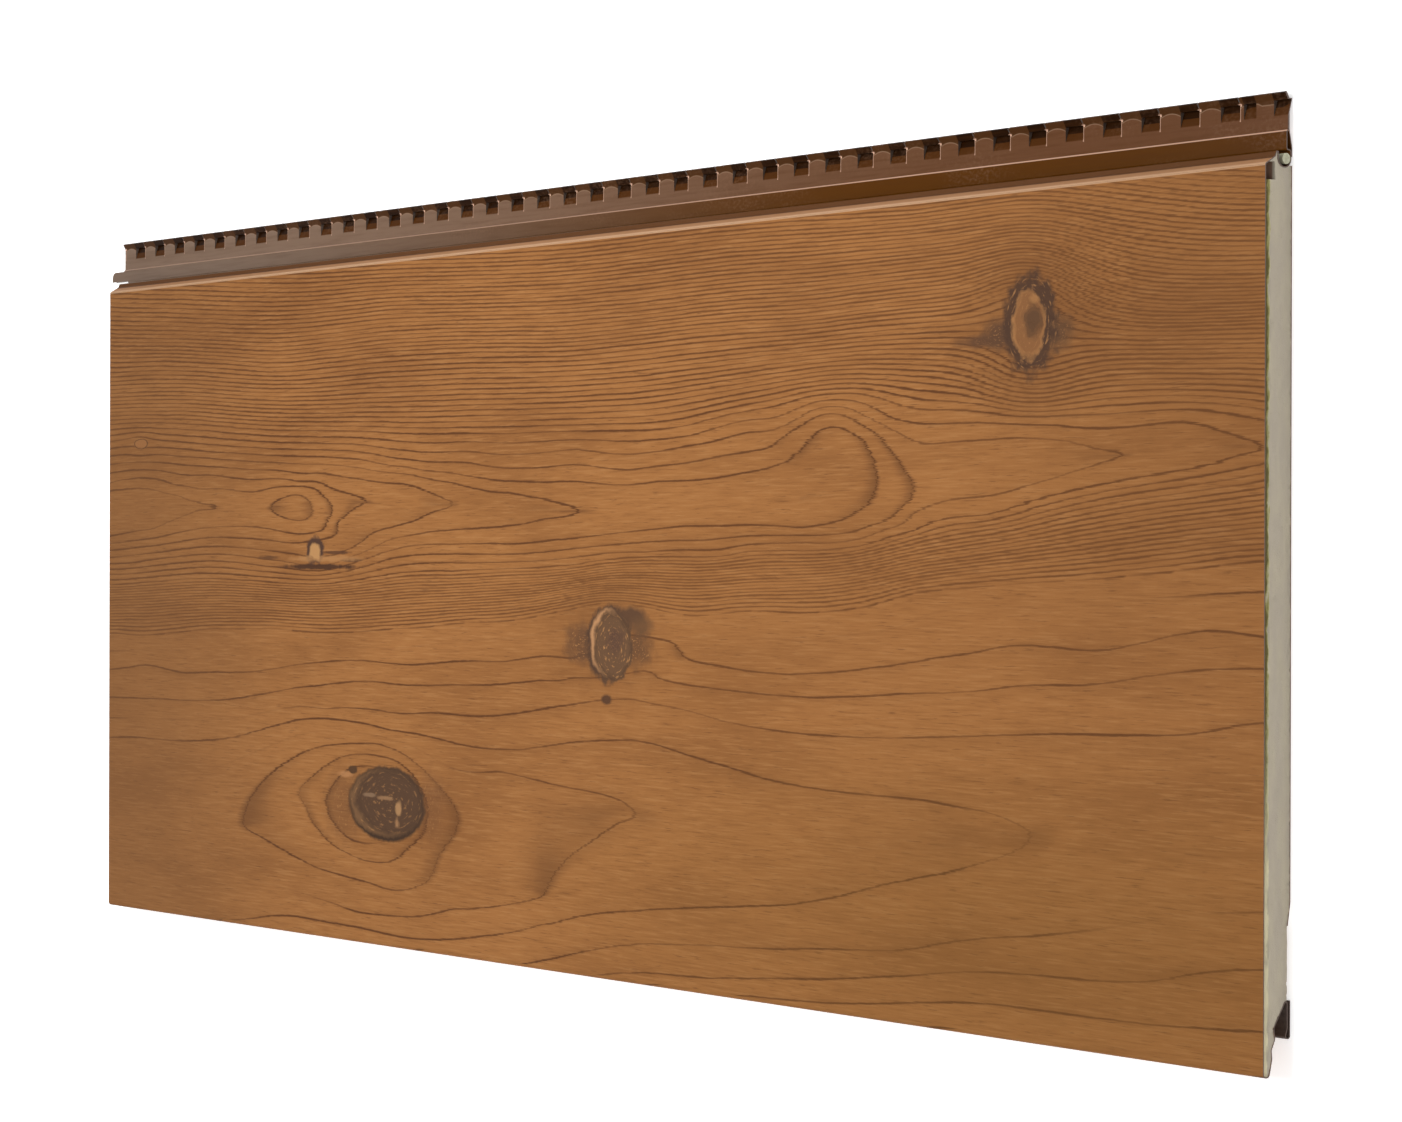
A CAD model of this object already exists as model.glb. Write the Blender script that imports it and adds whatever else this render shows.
"""Looks of an insulated siding panel: printed skin, foam, facing, bead, light and camera."""

import logging
import math
from dataclasses import dataclass
from enum import Enum
from typing import Sequence

import bmesh
import bpy
import numpy as np
from mathutils import Matrix, Vector


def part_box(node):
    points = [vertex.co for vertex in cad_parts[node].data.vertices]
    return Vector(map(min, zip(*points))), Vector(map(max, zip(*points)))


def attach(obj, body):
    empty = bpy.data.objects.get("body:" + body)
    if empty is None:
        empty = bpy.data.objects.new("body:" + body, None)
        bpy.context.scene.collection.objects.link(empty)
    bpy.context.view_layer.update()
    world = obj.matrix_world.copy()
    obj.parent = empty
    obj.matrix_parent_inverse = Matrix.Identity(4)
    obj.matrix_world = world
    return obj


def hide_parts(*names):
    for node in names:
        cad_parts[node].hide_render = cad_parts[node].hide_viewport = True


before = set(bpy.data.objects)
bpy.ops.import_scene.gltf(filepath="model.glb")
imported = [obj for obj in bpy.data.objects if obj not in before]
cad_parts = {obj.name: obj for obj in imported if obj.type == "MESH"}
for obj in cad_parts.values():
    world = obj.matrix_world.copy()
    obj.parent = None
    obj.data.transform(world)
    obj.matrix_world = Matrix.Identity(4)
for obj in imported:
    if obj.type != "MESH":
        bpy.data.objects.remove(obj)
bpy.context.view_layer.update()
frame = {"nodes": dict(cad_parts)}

LOG = logging.getLogger("siding_panel")
MM = 0.001

# The face's half length and its width, in millimetres.
HALF_LENGTH = 500.0
COVER = 383.0

Colour = tuple[float, float, float]
Point = tuple[float, float]
Socket = bpy.types.NodeSocket
Finishes = Sequence[bpy.types.Material]


class Slot(Enum):
    """The record's material slots that the pieces take."""

    STEEL = "printed_steel"
    FOAM = "foam"
    BEAD = "seal_rope"


class Zone(Enum):
    """Finishes on the one steel skin, in the order of its material slots."""

    PRINT = 0
    LACQUER = 1
    PRIMER = 2


def linear(colour: Colour) -> tuple[float, float, float, float]:
    """Turns a screen colour into a shader colour.

    Args:
        colour: Red, green and blue from 0 to 255.

    Returns:
        The linear colour with full opacity.
    """
    parts = []
    for value in colour:
        share = value / 255
        parts.append(share / 12.92 if share <= 0.04045 else ((share + 0.055) / 1.055) ** 2.4)
    return (parts[0], parts[1], parts[2], 1.0)


class Board:
    """A node tree that is being laid out."""

    def __init__(self, tree: bpy.types.NodeTree) -> None:
        """Keeps the tree."""
        self.tree = tree

    def feed(self, node: bpy.types.Node, inputs: dict) -> None:
        """Sets or links a node's inputs.

        Args:
            node: The node.
            inputs: Values or output sockets by input name or number.
        """
        for key, value in inputs.items():
            if isinstance(value, Socket):
                self.tree.links.new(value, node.inputs[key])
            else:
                node.inputs[key].default_value = value

    def node(self, kind: str, inputs: dict | None = None, **settings: object) -> bpy.types.Node:
        """Adds a node.

        Args:
            kind: The node's type name.
            inputs: Values or output sockets by input name or number.
            **settings: Properties of the node.

        Returns:
            The new node.
        """
        made = self.tree.nodes.new(kind)
        for name, value in settings.items():
            setattr(made, name, value)
        self.feed(made, inputs or {})
        return made

    def math(self, operation: str, *values: object, clamp: bool = False) -> Socket:
        """Adds a Math node.

        Args:
            operation: The node's operation.
            *values: Numbers or sockets, in order.
            clamp: Whether the result is held between 0 and 1.

        Returns:
            The result socket.
        """
        made = self.node("ShaderNodeMath", dict(enumerate(values)), operation=operation, use_clamp=clamp)
        return made.outputs[0]

    def times(self, first: object, second: object) -> Socket:
        """The product of two values."""
        return self.math("MULTIPLY", first, second)

    def minus(self, first: object, second: object) -> Socket:
        """The first value less the second."""
        return self.math("SUBTRACT", first, second)

    def scaled(self, value: object, factor: object, added: object) -> Socket:
        """A value times a factor, with another value added."""
        return self.math("MULTIPLY_ADD", value, factor, added)

    def most(self, first: object, second: object) -> Socket:
        """The larger of two values."""
        return self.math("MAXIMUM", first, second)

    def apart(self, first: object, second: object) -> Socket:
        """How far two values are apart."""
        return self.math("ABSOLUTE", self.minus(first, second))

    def vector(self, operation: str, inputs: dict) -> Socket:
        """The result of a Vector Math node."""
        return self.node("ShaderNodeVectorMath", inputs, operation=operation).outputs[0]

    def split(self, vector: Socket) -> tuple[Socket, ...]:
        """The three parts of a vector."""
        return tuple(self.node("ShaderNodeSeparateXYZ", {0: vector}).outputs)

    def ramp(
        self, value: Socket, low: float, high: float, to_low: float = 0.0, to_high: float = 1.0
    ) -> Socket:
        """Maps a range smoothly on to another one.

        Args:
            value: The socket to map.
            low: Where the change starts.
            high: Where it ends.
            to_low: The result at the start.
            to_high: The result at the end.

        Returns:
            The mapped value's socket.
        """
        inputs = {"Value": value, "From Min": low, "From Max": high, "To Min": to_low, "To Max": to_high}
        return self.node("ShaderNodeMapRange", inputs, interpolation_type="SMOOTHSTEP").outputs["Result"]

    def noise(self, place: Socket, scale: Sequence[float], detail: float = 2.0, shift: float = 0.0) -> Socket:
        """Adds a noise stretched by a scale for each axis.

        Args:
            place: The place in millimetres.
            scale: Waves per millimetre along each axis.
            detail: Octaves of finer noise.
            shift: Moves the pattern, so that two noises differ.

        Returns:
            The noise value's socket, about 0.5 on average.
        """
        location = (shift, shift * 1.7, shift * 0.3)
        moved = self.node("ShaderNodeMapping", {"Vector": place, "Scale": scale, "Location": location})
        inputs = {"Vector": moved.outputs[0], "Scale": 1.0, "Detail": detail, "Roughness": 0.55}
        return self.node("ShaderNodeTexNoise", inputs).outputs["Fac"]

    def waver(self, place: Socket, scale: Sequence[float], detail: float, shift: float = 0.0) -> Socket:
        """The same noise about 0."""
        return self.minus(self.noise(place, scale, detail, shift), 0.5)

    def noise_at(self, *parts: object) -> Socket:
        """A noise at a place put together from up to three values."""
        place = self.node("ShaderNodeCombineXYZ", dict(enumerate(parts))).outputs[0]
        return self.node("ShaderNodeTexNoise", {"Vector": place, "Scale": 1.0, "Detail": 2.0}).outputs["Fac"]

    def mix(self, factor: object, first: Colour | Socket, second: Colour | Socket) -> Socket:
        """Mixes two colours.

        Args:
            factor: The share of the second one.
            first: A screen colour or a socket.
            second: A screen colour or a socket.

        Returns:
            The mixed colour's socket.
        """
        pair = [c if isinstance(c, Socket) else linear(c) for c in (first, second)]
        return self.node("ShaderNodeMix", {0: factor, 6: pair[0], 7: pair[1]}, data_type="RGBA").outputs[2]


class Group(Board):
    """A node group that is being laid out.

    Attributes:
        given: The sockets of its inputs, by name.
    """

    def __init__(self, name: str, inputs: dict, outputs: dict, kind: str = "ShaderNodeTree") -> None:
        """Starts the group.

        Args:
            name: The group's name.
            inputs: The names of its inputs, by their type.
            outputs: The names of its outputs, by their type.
            kind: The tree's type name.
        """
        super().__init__(bpy.data.node_groups.new(name, kind))
        for side, sockets in (("INPUT", inputs), ("OUTPUT", outputs)):
            for sort, names in sockets.items():
                for key in names:
                    self.tree.interface.new_socket(key, in_out=side, socket_type=f"NodeSocket{sort}")
        self.given = self.node("NodeGroupInput").outputs

    def close(self, **results: Socket) -> bpy.types.NodeTree:
        """Links the results to the group's outputs and hands over its tree."""
        self.node("NodeGroupOutput", results)
        return self.tree

    def seeded_noise(self, place: Socket, scale: float, detail: float) -> Socket:
        """A noise in a geometry group that its input Seed moves."""
        inputs = {"Vector": place, "W": self.given["Seed"], "Scale": scale, "Detail": detail}
        return self.node("ShaderNodeTexNoise", inputs, noise_dimensions="4D").outputs["Fac"]

    def dressed(self, geometry: Socket) -> Socket:
        """The real geometry in the material of the input Finish."""
        real = self.node("GeometryNodeRealizeInstances", {"Geometry": geometry}).outputs[0]
        inputs = {"Geometry": real, "Material": self.given["Finish"]}
        return self.node("GeometryNodeSetMaterial", inputs).outputs[0]


class Effects:
    """Shader groups that several finishes share."""

    def __init__(self) -> None:
        """Builds the groups once."""
        self.rings = self.build_rings()
        self.knot = self.build_knot()
        self.streaks = self.build_streaks()
        self.scuffs = self.build_scuffs()

    @staticmethod
    def build_rings() -> bpy.types.NodeTree:
        """Year rings from a ring number that rises across the grain.

        Returns:
            The group, with outputs Line for the dark late wood and Shade for the soft run-up to it.
        """
        inputs = {"Vector": ("Place",), "Float": ("Ring", "Pace", "Width", "Lean")}
        board = Group("Year rings", inputs, {"Float": ("Line", "Shade")})
        place = board.given["Place"]
        pace = board.given["Pace"]
        slow = board.waver(place, (0.012, 0.035, 0.03), 1.0)
        quick = board.waver(place, (0.05, 0.3, 0.3), 3.0, 7.0)
        feather = board.waver(place, (0.03, 1.7, 1.7), 2.0, 23.0)
        sway = board.times(board.scaled(slow, 1.2, board.times(quick, 0.7)), pace)
        shift = board.scaled(board.times(feather, 10.0), board.given["Lean"], sway)
        level = board.math("ADD", board.given["Ring"], shift)
        number = board.math("FLOOR", board.math("ADD", level, 0.5))
        offset = board.minus(level, number)
        away = board.math("DIVIDE", board.math("ABSOLUTE", offset), board.most(pace, 0.01))
        random = board.noise_at(board.times(number, 3.71), board.times(board.split(place)[0], 0.011))
        ink = board.ramp(random, 0.3, 0.6, 0.45, 1.0)
        half = board.times(board.given["Width"], board.ramp(random, 0.3, 0.7, 0.7, 1.3))
        fibre = board.waver(place, (0.14, 1.9, 1.9), 3.0, 17.0)
        edge = board.scaled(fibre, 1.5, board.math("DIVIDE", away, half))
        line = board.times(board.ramp(edge, 0.3, 1.15, 1.0, 0.0), ink)
        rise = board.math("POWER", board.ramp(offset, -0.5, 0.0, 0.0, 1.0), 1.6)
        fall = board.ramp(offset, 0.0, 0.12, 1.0, 0.0)
        return board.close(Line=line, Shade=board.times(board.times(rise, fall), ink))

    @staticmethod
    def build_knot() -> bpy.types.NodeTree:
        """One ragged patch of a knot.

        Returns:
            The group, with outputs Inside, Rim for the darker edge and Flecks that run round it.
        """
        inputs = {"Vector": ("Place", "Centre", "Half size"), "Float": ("Torn", "Ragged", "Soft")}
        board = Group("Knot patch", inputs, {"Float": ("Inside", "Rim", "Flecks")})
        given = board.given
        torn = given["Torn"]
        away = board.vector("SUBTRACT", {0: given["Place"], 1: given["Centre"]})
        across, up, _ = board.split(board.vector("DIVIDE", {0: away, 1: given["Half size"]}))
        radius = board.math("SQRT", board.math("ADD", board.times(across, across), board.times(up, up)))
        ragged = board.scaled(torn, given["Ragged"], radius)
        margin = board.math("DIVIDE", board.minus(1.0, ragged), given["Soft"])
        inside = board.math("ADD", margin, 0.5, clamp=True)
        rim = board.times(board.ramp(ragged, 0.78, 0.93), board.ramp(ragged, 0.97, 1.07, 1.0, 0.0))
        angle = board.math("ARCTAN2", up, across)
        swirl = board.noise_at(board.times(angle, 2.8), board.times(radius, 14.0), board.times(torn, 3.0))
        flecks = board.times(board.ramp(swirl, 0.56, 0.72), inside)
        return board.close(Inside=inside, Rim=rim, Flecks=flecks)

    @staticmethod
    def build_streaks() -> bpy.types.NodeTree:
        """Short fine streaks along the panel, for print, lacquer and primer.

        Returns:
            The group, with the output Value about 0.5 on average.
        """
        board = Group("Fine streaks", {"Vector": ("Place",), "Float": ("Fineness",)}, {"Float": ("Value",)})
        place = board.vector("SCALE", {0: board.given["Place"], 3: board.given["Fineness"]})
        return board.close(Value=board.noise(place, (0.05, 0.9, 0.9), 4.0, 11.0))

    @staticmethod
    def build_scuffs() -> bpy.types.NodeTree:
        """Patchy dust and handling marks, for lacquer, primer, facing and rope.

        Returns:
            The group, with the output Mask.
        """
        board = Group("Scuffs", {"Vector": ("Place",), "Float": ("Amount",)}, {"Float": ("Mask",)})
        place = board.given["Place"]
        broad = board.ramp(board.noise(place, (0.02, 0.05, 0.05), 3.0, 5.0), 0.42, 0.7)
        fine = board.ramp(board.noise(place, (0.5, 0.7, 0.7), 3.0, 9.0), 0.4, 0.75)
        amount = board.given["Amount"]
        return board.close(Mask=board.math("MULTIPLY", board.times(broad, fine), amount, clamp=True))


class Paint(Board):
    """A material that is being laid out.

    Attributes:
        material: The material.
        surface: Its Principled BSDF.
        effects: The shared shader groups.
        place: The place on the object in millimetres.
        along: The place along the panel.
        up: The place across the panel.
        out: The height above the panel's back.
    """

    def __init__(self, name: str, effects: Effects) -> None:
        """Starts the material.

        Args:
            name: The material's name.
            effects: The shared shader groups.
        """
        self.material = bpy.data.materials.new(name)
        self.material.use_nodes = True
        super().__init__(self.material.node_tree)
        self.surface = self.tree.nodes["Principled BSDF"]
        self.effects = effects
        coordinates = self.node("ShaderNodeTexCoord").outputs["Object"]
        self.place = self.vector("SCALE", {0: coordinates, 3: 1 / MM})
        self.along, self.up, self.out = self.split(self.place)

    def attribute(self, name: str) -> Socket:
        """A number stored on the mesh."""
        return self.node("ShaderNodeAttribute", attribute_name=name).outputs["Fac"]

    def effect(self, tree: bpy.types.NodeTree, inputs: dict) -> bpy.types.Node:
        """A shared shader group at this material's place."""
        return self.node("ShaderNodeGroup", {"Place": self.place, **inputs}, node_tree=tree)

    def streaks(self, fineness: float) -> Socket:
        """Fine streaks, about 0.5 on average."""
        return self.effect(self.effects.streaks, {"Fineness": fineness}).outputs["Value"]

    def scuffs(self, amount: float) -> Socket:
        """The mask of dust and handling marks."""
        return self.effect(self.effects.scuffs, {"Amount": amount}).outputs["Mask"]

    def cells(self, scale: float) -> Socket:
        """The distance from the middle of a random cell."""
        return self.node("ShaderNodeTexVoronoi", {"Vector": self.place, "Scale": scale}).outputs["Distance"]

    def from_cut(self, start: float, end: float) -> Socket:
        """Rises from 0 to 1 between two distances from the nearer cut end, in millimetres."""
        return self.ramp(self.math("ABSOLUTE", self.along), HALF_LENGTH - start, HALF_LENGTH - end)

    def dress(self, inputs: dict, height: Socket, relief: float, strength: float) -> None:
        """Feeds the material's surface and its relief.

        Args:
            inputs: Values or sockets by the surface's input names.
            height: The relief's height.
            relief: The relief in metres.
            strength: The share of the relief that shows.
        """
        bump = self.node("ShaderNodeBump", {"Height": height, "Distance": relief, "Strength": strength})
        self.feed(self.surface, {**inputs, "Normal": bump.outputs[0]})


@dataclass(frozen=True)
class Finish:
    """A finish, which makes one material.

    Attributes:
        name: The material's name.
    """

    name: str

    def make(self, effects: Effects) -> bpy.types.Material:
        """Builds the material.

        Args:
            effects: The shared shader groups.

        Returns:
            The material.
        """
        paint = Paint(self.name, effects)
        self.lay(paint)
        return paint.material

    def lay(self, paint: Paint) -> None:
        """Lays out the nodes, which each finish does in its own way."""
        raise NotImplementedError


@dataclass(frozen=True)
class KnotMark:
    """One patch of a knot in the print.

    Attributes:
        centre: Its middle in millimetres from the middle of the panel.
        half: Its half width and half height in millimetres.
        paint: Its colour.
        ragged: How torn its edge is.
        soft: The width of its edge as a share of its half size.
        cover: How much of the print under it is hidden.
        rim: How dark its rim is.
        flecks: How strong the pale flecks in it are.
    """

    centre: Point
    half: Point
    paint: Colour
    ragged: float = 0.5
    soft: float = 0.12
    cover: float = 1.0
    rim: float = 0.0
    flecks: float = 0.0


@dataclass(frozen=True)
class Parting:
    """A place where the rings part round a knot.

    Attributes:
        centre: Its middle in millimetres from the middle of the panel.
        reach: How far it pushes the rings, along and across the panel, in millimetres.
        push: How strongly it pushes them, from 0 to 1.
    """

    centre: Point
    reach: Point
    push: float


DARK_LINE: Colour = (96, 60, 34)

KNOTS = (
    KnotMark((360.0, -145.0), (260.0, 62.0), (112, 76, 34), 0.6, 1.3, 0.4),
    KnotMark((480.0, 130.0), (120.0, 130.0), (116, 74, 38), 0.6, 1.3, 0.32),
    KnotMark((250.0, -10.0), (230.0, 60.0), (124, 80, 42), 0.6, 1.3, 0.22),
    KnotMark((-470.0, -60.0), (120.0, 260.0), (118, 80, 48), 0.5, 1.3, 0.42),
    KnotMark((-174.0, -113.0), (60.0, 30.0), DARK_LINE, 0.6, 0.7, 0.18),
    KnotMark((-222.0, -115.0), (18.0, 18.0), (112, 74, 46), 1.2, 0.9, 0.45, 0.0, 0.7),
    KnotMark((-132.0, -112.0), (12.0, 18.0), (110, 72, 45), 1.2, 0.9, 0.45, 0.0, 0.7),
    KnotMark((-178.8, -111.9), (39.4, 20.9), (64, 46, 33), 0.16, 0.08),
    KnotMark((-180.2, -111.3), (36.2, 18.6), (122, 88, 58), 0.3, 0.12, 0.8, 0.0, 0.8),
    KnotMark((-175.4, -110.6), (34.8, 18.4), (84, 60, 43), 0.45, 0.2, 1.0, 0.2, 0.4),
    KnotMark((-166.0, -114.0), (2.6, 3.8), (170, 128, 86), 2.4, 0.8, 0.8),
    KnotMark((-168.0, -121.4), (2.4, 3.0), (160, 118, 80), 2.4, 0.7, 0.75),
    KnotMark((-180.6, -108.6), (7.4, 1.1), (150, 112, 78), 1.8, 0.7, 0.75),
    KnotMark((-196.0, -107.6), (6.5, 1.2), (138, 108, 82), 1.8, 0.6, 0.7),
    KnotMark((-222.5, -97.0), (7.0, 1.8), (176, 124, 80), 1.2, 0.6, 0.7),
    KnotMark((-214.0, -94.0), (4.6, 2.1), (82, 56, 36), 1.2, 0.4),
    KnotMark((30.0, -18.0), (44.0, 28.0), DARK_LINE, 0.7, 0.8, 0.3),
    KnotMark((10.0, -19.5), (15.0, 9.5), (98, 67, 45), 1.6, 0.8, 0.85, 0.0, 0.8),
    KnotMark((56.0, -20.0), (13.0, 9.0), (96, 66, 44), 1.6, 0.8, 0.85, 0.0, 0.8),
    KnotMark((50.0, -4.0), (15.0, 4.4), (90, 63, 44), 1.0, 0.7),
    KnotMark((61.0, -9.0), (9.0, 4.2), (98, 69, 46), 1.2, 0.9, 0.85),
    KnotMark((33.0, -18.6), (20.0, 20.0), (80, 57, 42), 0.6, 0.16),
    KnotMark((32.0, -18.0), (15.6, 17.2), (180, 132, 90), 0.4, 0.14, 0.9),
    KnotMark((36.2, -19.6), (16.8, 17.6), (100, 72, 50), 0.5, 0.2, 1.0, 0.3, 0.8),
    KnotMark((38.0, -17.0), (7.0, 6.0), (86, 61, 48), 1.4, 0.6, 0.8, 0.0, 0.5),
    KnotMark((30.6, -47.2), (4.4, 2.5), (82, 55, 38), 0.9, 0.5, 0.95),
    KnotMark((352.0, 127.0), (42.0, 36.0), DARK_LINE, 0.8, 0.9, 0.32),
    KnotMark((326.0, 124.4), (19.0, 2.8), (92, 62, 42), 0.9, 0.9, 0.95, 0.0, 0.3),
    KnotMark((336.0, 127.0), (13.0, 6.6), (90, 62, 43), 1.0, 0.8, 0.95, 0.0, 0.5),
    KnotMark((370.0, 126.5), (12.0, 7.0), (92, 64, 43), 1.2, 0.9, 0.9, 0.0, 0.5),
    KnotMark((354.5, 131.0), (18.0, 22.5), (74, 52, 39), 0.9, 0.25, 0.95, 0.0, 0.6),
    KnotMark((353.4, 130.6), (10.6, 16.0), (164, 115, 70), 0.9, 0.18, 1.0, 0.25),
    KnotMark((353.6, 131.0), (9.4, 14.8), (128, 86, 52), 0.5, 0.2, 1.0, 0.0, 0.3),
    KnotMark((356.2, 132.6), (5.6, 7.0), (92, 64, 43), 1.4, 0.7, 1.0, 0.2),
    KnotMark((357.4, 142.0), (3.0, 2.2), (164, 116, 70), 1.8, 0.7, 0.5),
    KnotMark((-252.0, 20.4), (38.0, 1.5), (70, 45, 31), 1.5, 0.6, 0.95),
    KnotMark((-217.0, 24.2), (11.0, 1.0), (78, 50, 34), 1.4, 0.5, 0.9),
    KnotMark((-232.5, 28.6), (15.0, 1.0), (84, 54, 36), 1.4, 0.5, 0.85),
    KnotMark((-307.0, 25.6), (11.0, 1.1), (92, 60, 38), 1.4, 0.6, 0.8),
    KnotMark((-255.5, 29.8), (9.0, 8.0), (78, 54, 42), 0.9, 0.25),
    KnotMark((-246.0, 25.0), (38.0, 1.6), (170, 122, 76), 1.6, 0.8, 0.65),
    KnotMark((-255.4, 29.0), (5.4, 4.6), (178, 132, 84), 1.4, 0.4, 0.95),
    KnotMark((-460.0, 95.5), (8.5, 3.2), (150, 102, 62), 0.4, 0.3, 0.6, 0.6),
)

PARTINGS = (
    Parting((35.0, -19.0), (46.0, 24.0), 0.75),
    Parting((354.0, 128.0), (36.0, 30.0), 0.82),
    Parting((-255.0, 28.5), (26.0, 9.0), 0.6),
    Parting((-460.0, 95.5), (16.0, 6.0), 0.6),
)


@dataclass(frozen=True)
class PrintedWood(Finish):
    """Matt wood-grain print on the face: rings, knots, fine streaks and bands on the shoulder."""

    name: str = "wood_print"
    early: Colour = (154, 103, 57)
    late: Colour = (130, 84, 45)
    pale: Colour = (174, 124, 76)
    line: Colour = (90, 54, 29)
    bark: Colour = (54, 39, 29)
    face: float = 16.0
    bands: tuple[tuple[float, float, Colour], ...] = (
        (189.9, 190.4, (190, 150, 116)),
        (191.3, 191.9, (162, 118, 82)),
        (193.3, 193.7, (92, 58, 32)),
    )

    def lay(self, paint: Paint) -> None:
        """Lays out the print.

        Args:
            paint: The material in the making.
        """
        pace = paint.attribute("pace")
        ink = paint.attribute("ink")
        lean = paint.attribute("lean")
        width = paint.ramp(pace, 0.1, 0.4, 0.58, 0.5)
        inputs = {"Ring": paint.attribute("ring"), "Pace": pace, "Width": width, "Lean": lean}
        rings = paint.effect(paint.effects.rings, inputs).outputs
        streaks = paint.streaks(1.0)
        dashes = paint.streaks(1.6)
        cloud = paint.noise(paint.place, (0.006, 0.025, 0.02), 3.0, 2.0)
        colour = paint.mix(paint.ramp(cloud, 0.3, 0.6, 0.35, 1.0), self.late, self.early)
        colour = paint.mix(paint.ramp(streaks, 0.5, 0.72, 0.0, 0.55), colour, self.late)
        colour = paint.mix(paint.ramp(streaks, 0.5, 0.3, 0.0, 0.4), colour, self.pale)
        colour = paint.mix(paint.ramp(dashes, 0.58, 0.74, 0.0, 0.6), colour, DARK_LINE)
        slant = paint.math("DIVIDE", lean, paint.most(pace, 0.005))
        tight = paint.most(paint.ramp(slant, 0.15, 0.8, 0.14, 0.7), paint.ramp(pace, 0.1, 0.3, 0.0, 0.5))
        colour = paint.mix(paint.times(paint.times(rings["Shade"], tight), ink), colour, DARK_LINE)
        line = paint.times(rings["Line"], ink)
        colour = paint.mix(paint.times(line, paint.ramp(pace, 0.25, 0.6, 0.95, 0.6)), colour, self.line)
        colour = self.add_knots(paint, colour)
        for start, end, band in self.bands:
            colour = paint.mix(paint.ramp(paint.up, start, end), colour, band)
        height = paint.scaled(line, -0.6, paint.times(streaks, 0.9))
        surface = {"Base Color": colour, "Roughness": 0.6, "Specular IOR Level": 0.06}
        paint.dress(surface, height, 0.00012, 0.8)

    def add_knots(self, paint: Paint, colour: Socket) -> Socket:
        """Paints the knots over the print.

        Args:
            paint: The material in the making.
            colour: The print's colour.

        Returns:
            The colour with the knots.
        """
        torn = paint.waver(paint.place, (0.14, 0.14, 0.14), 5.0, 3.0)
        for mark in KNOTS:
            inputs = {
                "Torn": torn,
                "Centre": (*mark.centre, self.face),
                "Half size": (*mark.half, 1000.0),
                "Ragged": mark.ragged,
                "Soft": mark.soft,
            }
            knot = paint.effect(paint.effects.knot, inputs).outputs
            patch = mark.paint
            if mark.flecks:
                patch = paint.mix(paint.times(knot["Flecks"], mark.flecks), patch, self.pale)
            colour = paint.mix(paint.times(knot["Inside"], mark.cover), colour, patch)
            if mark.rim:
                colour = paint.mix(paint.times(knot["Rim"], mark.rim), colour, self.bark)
        return colour


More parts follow.
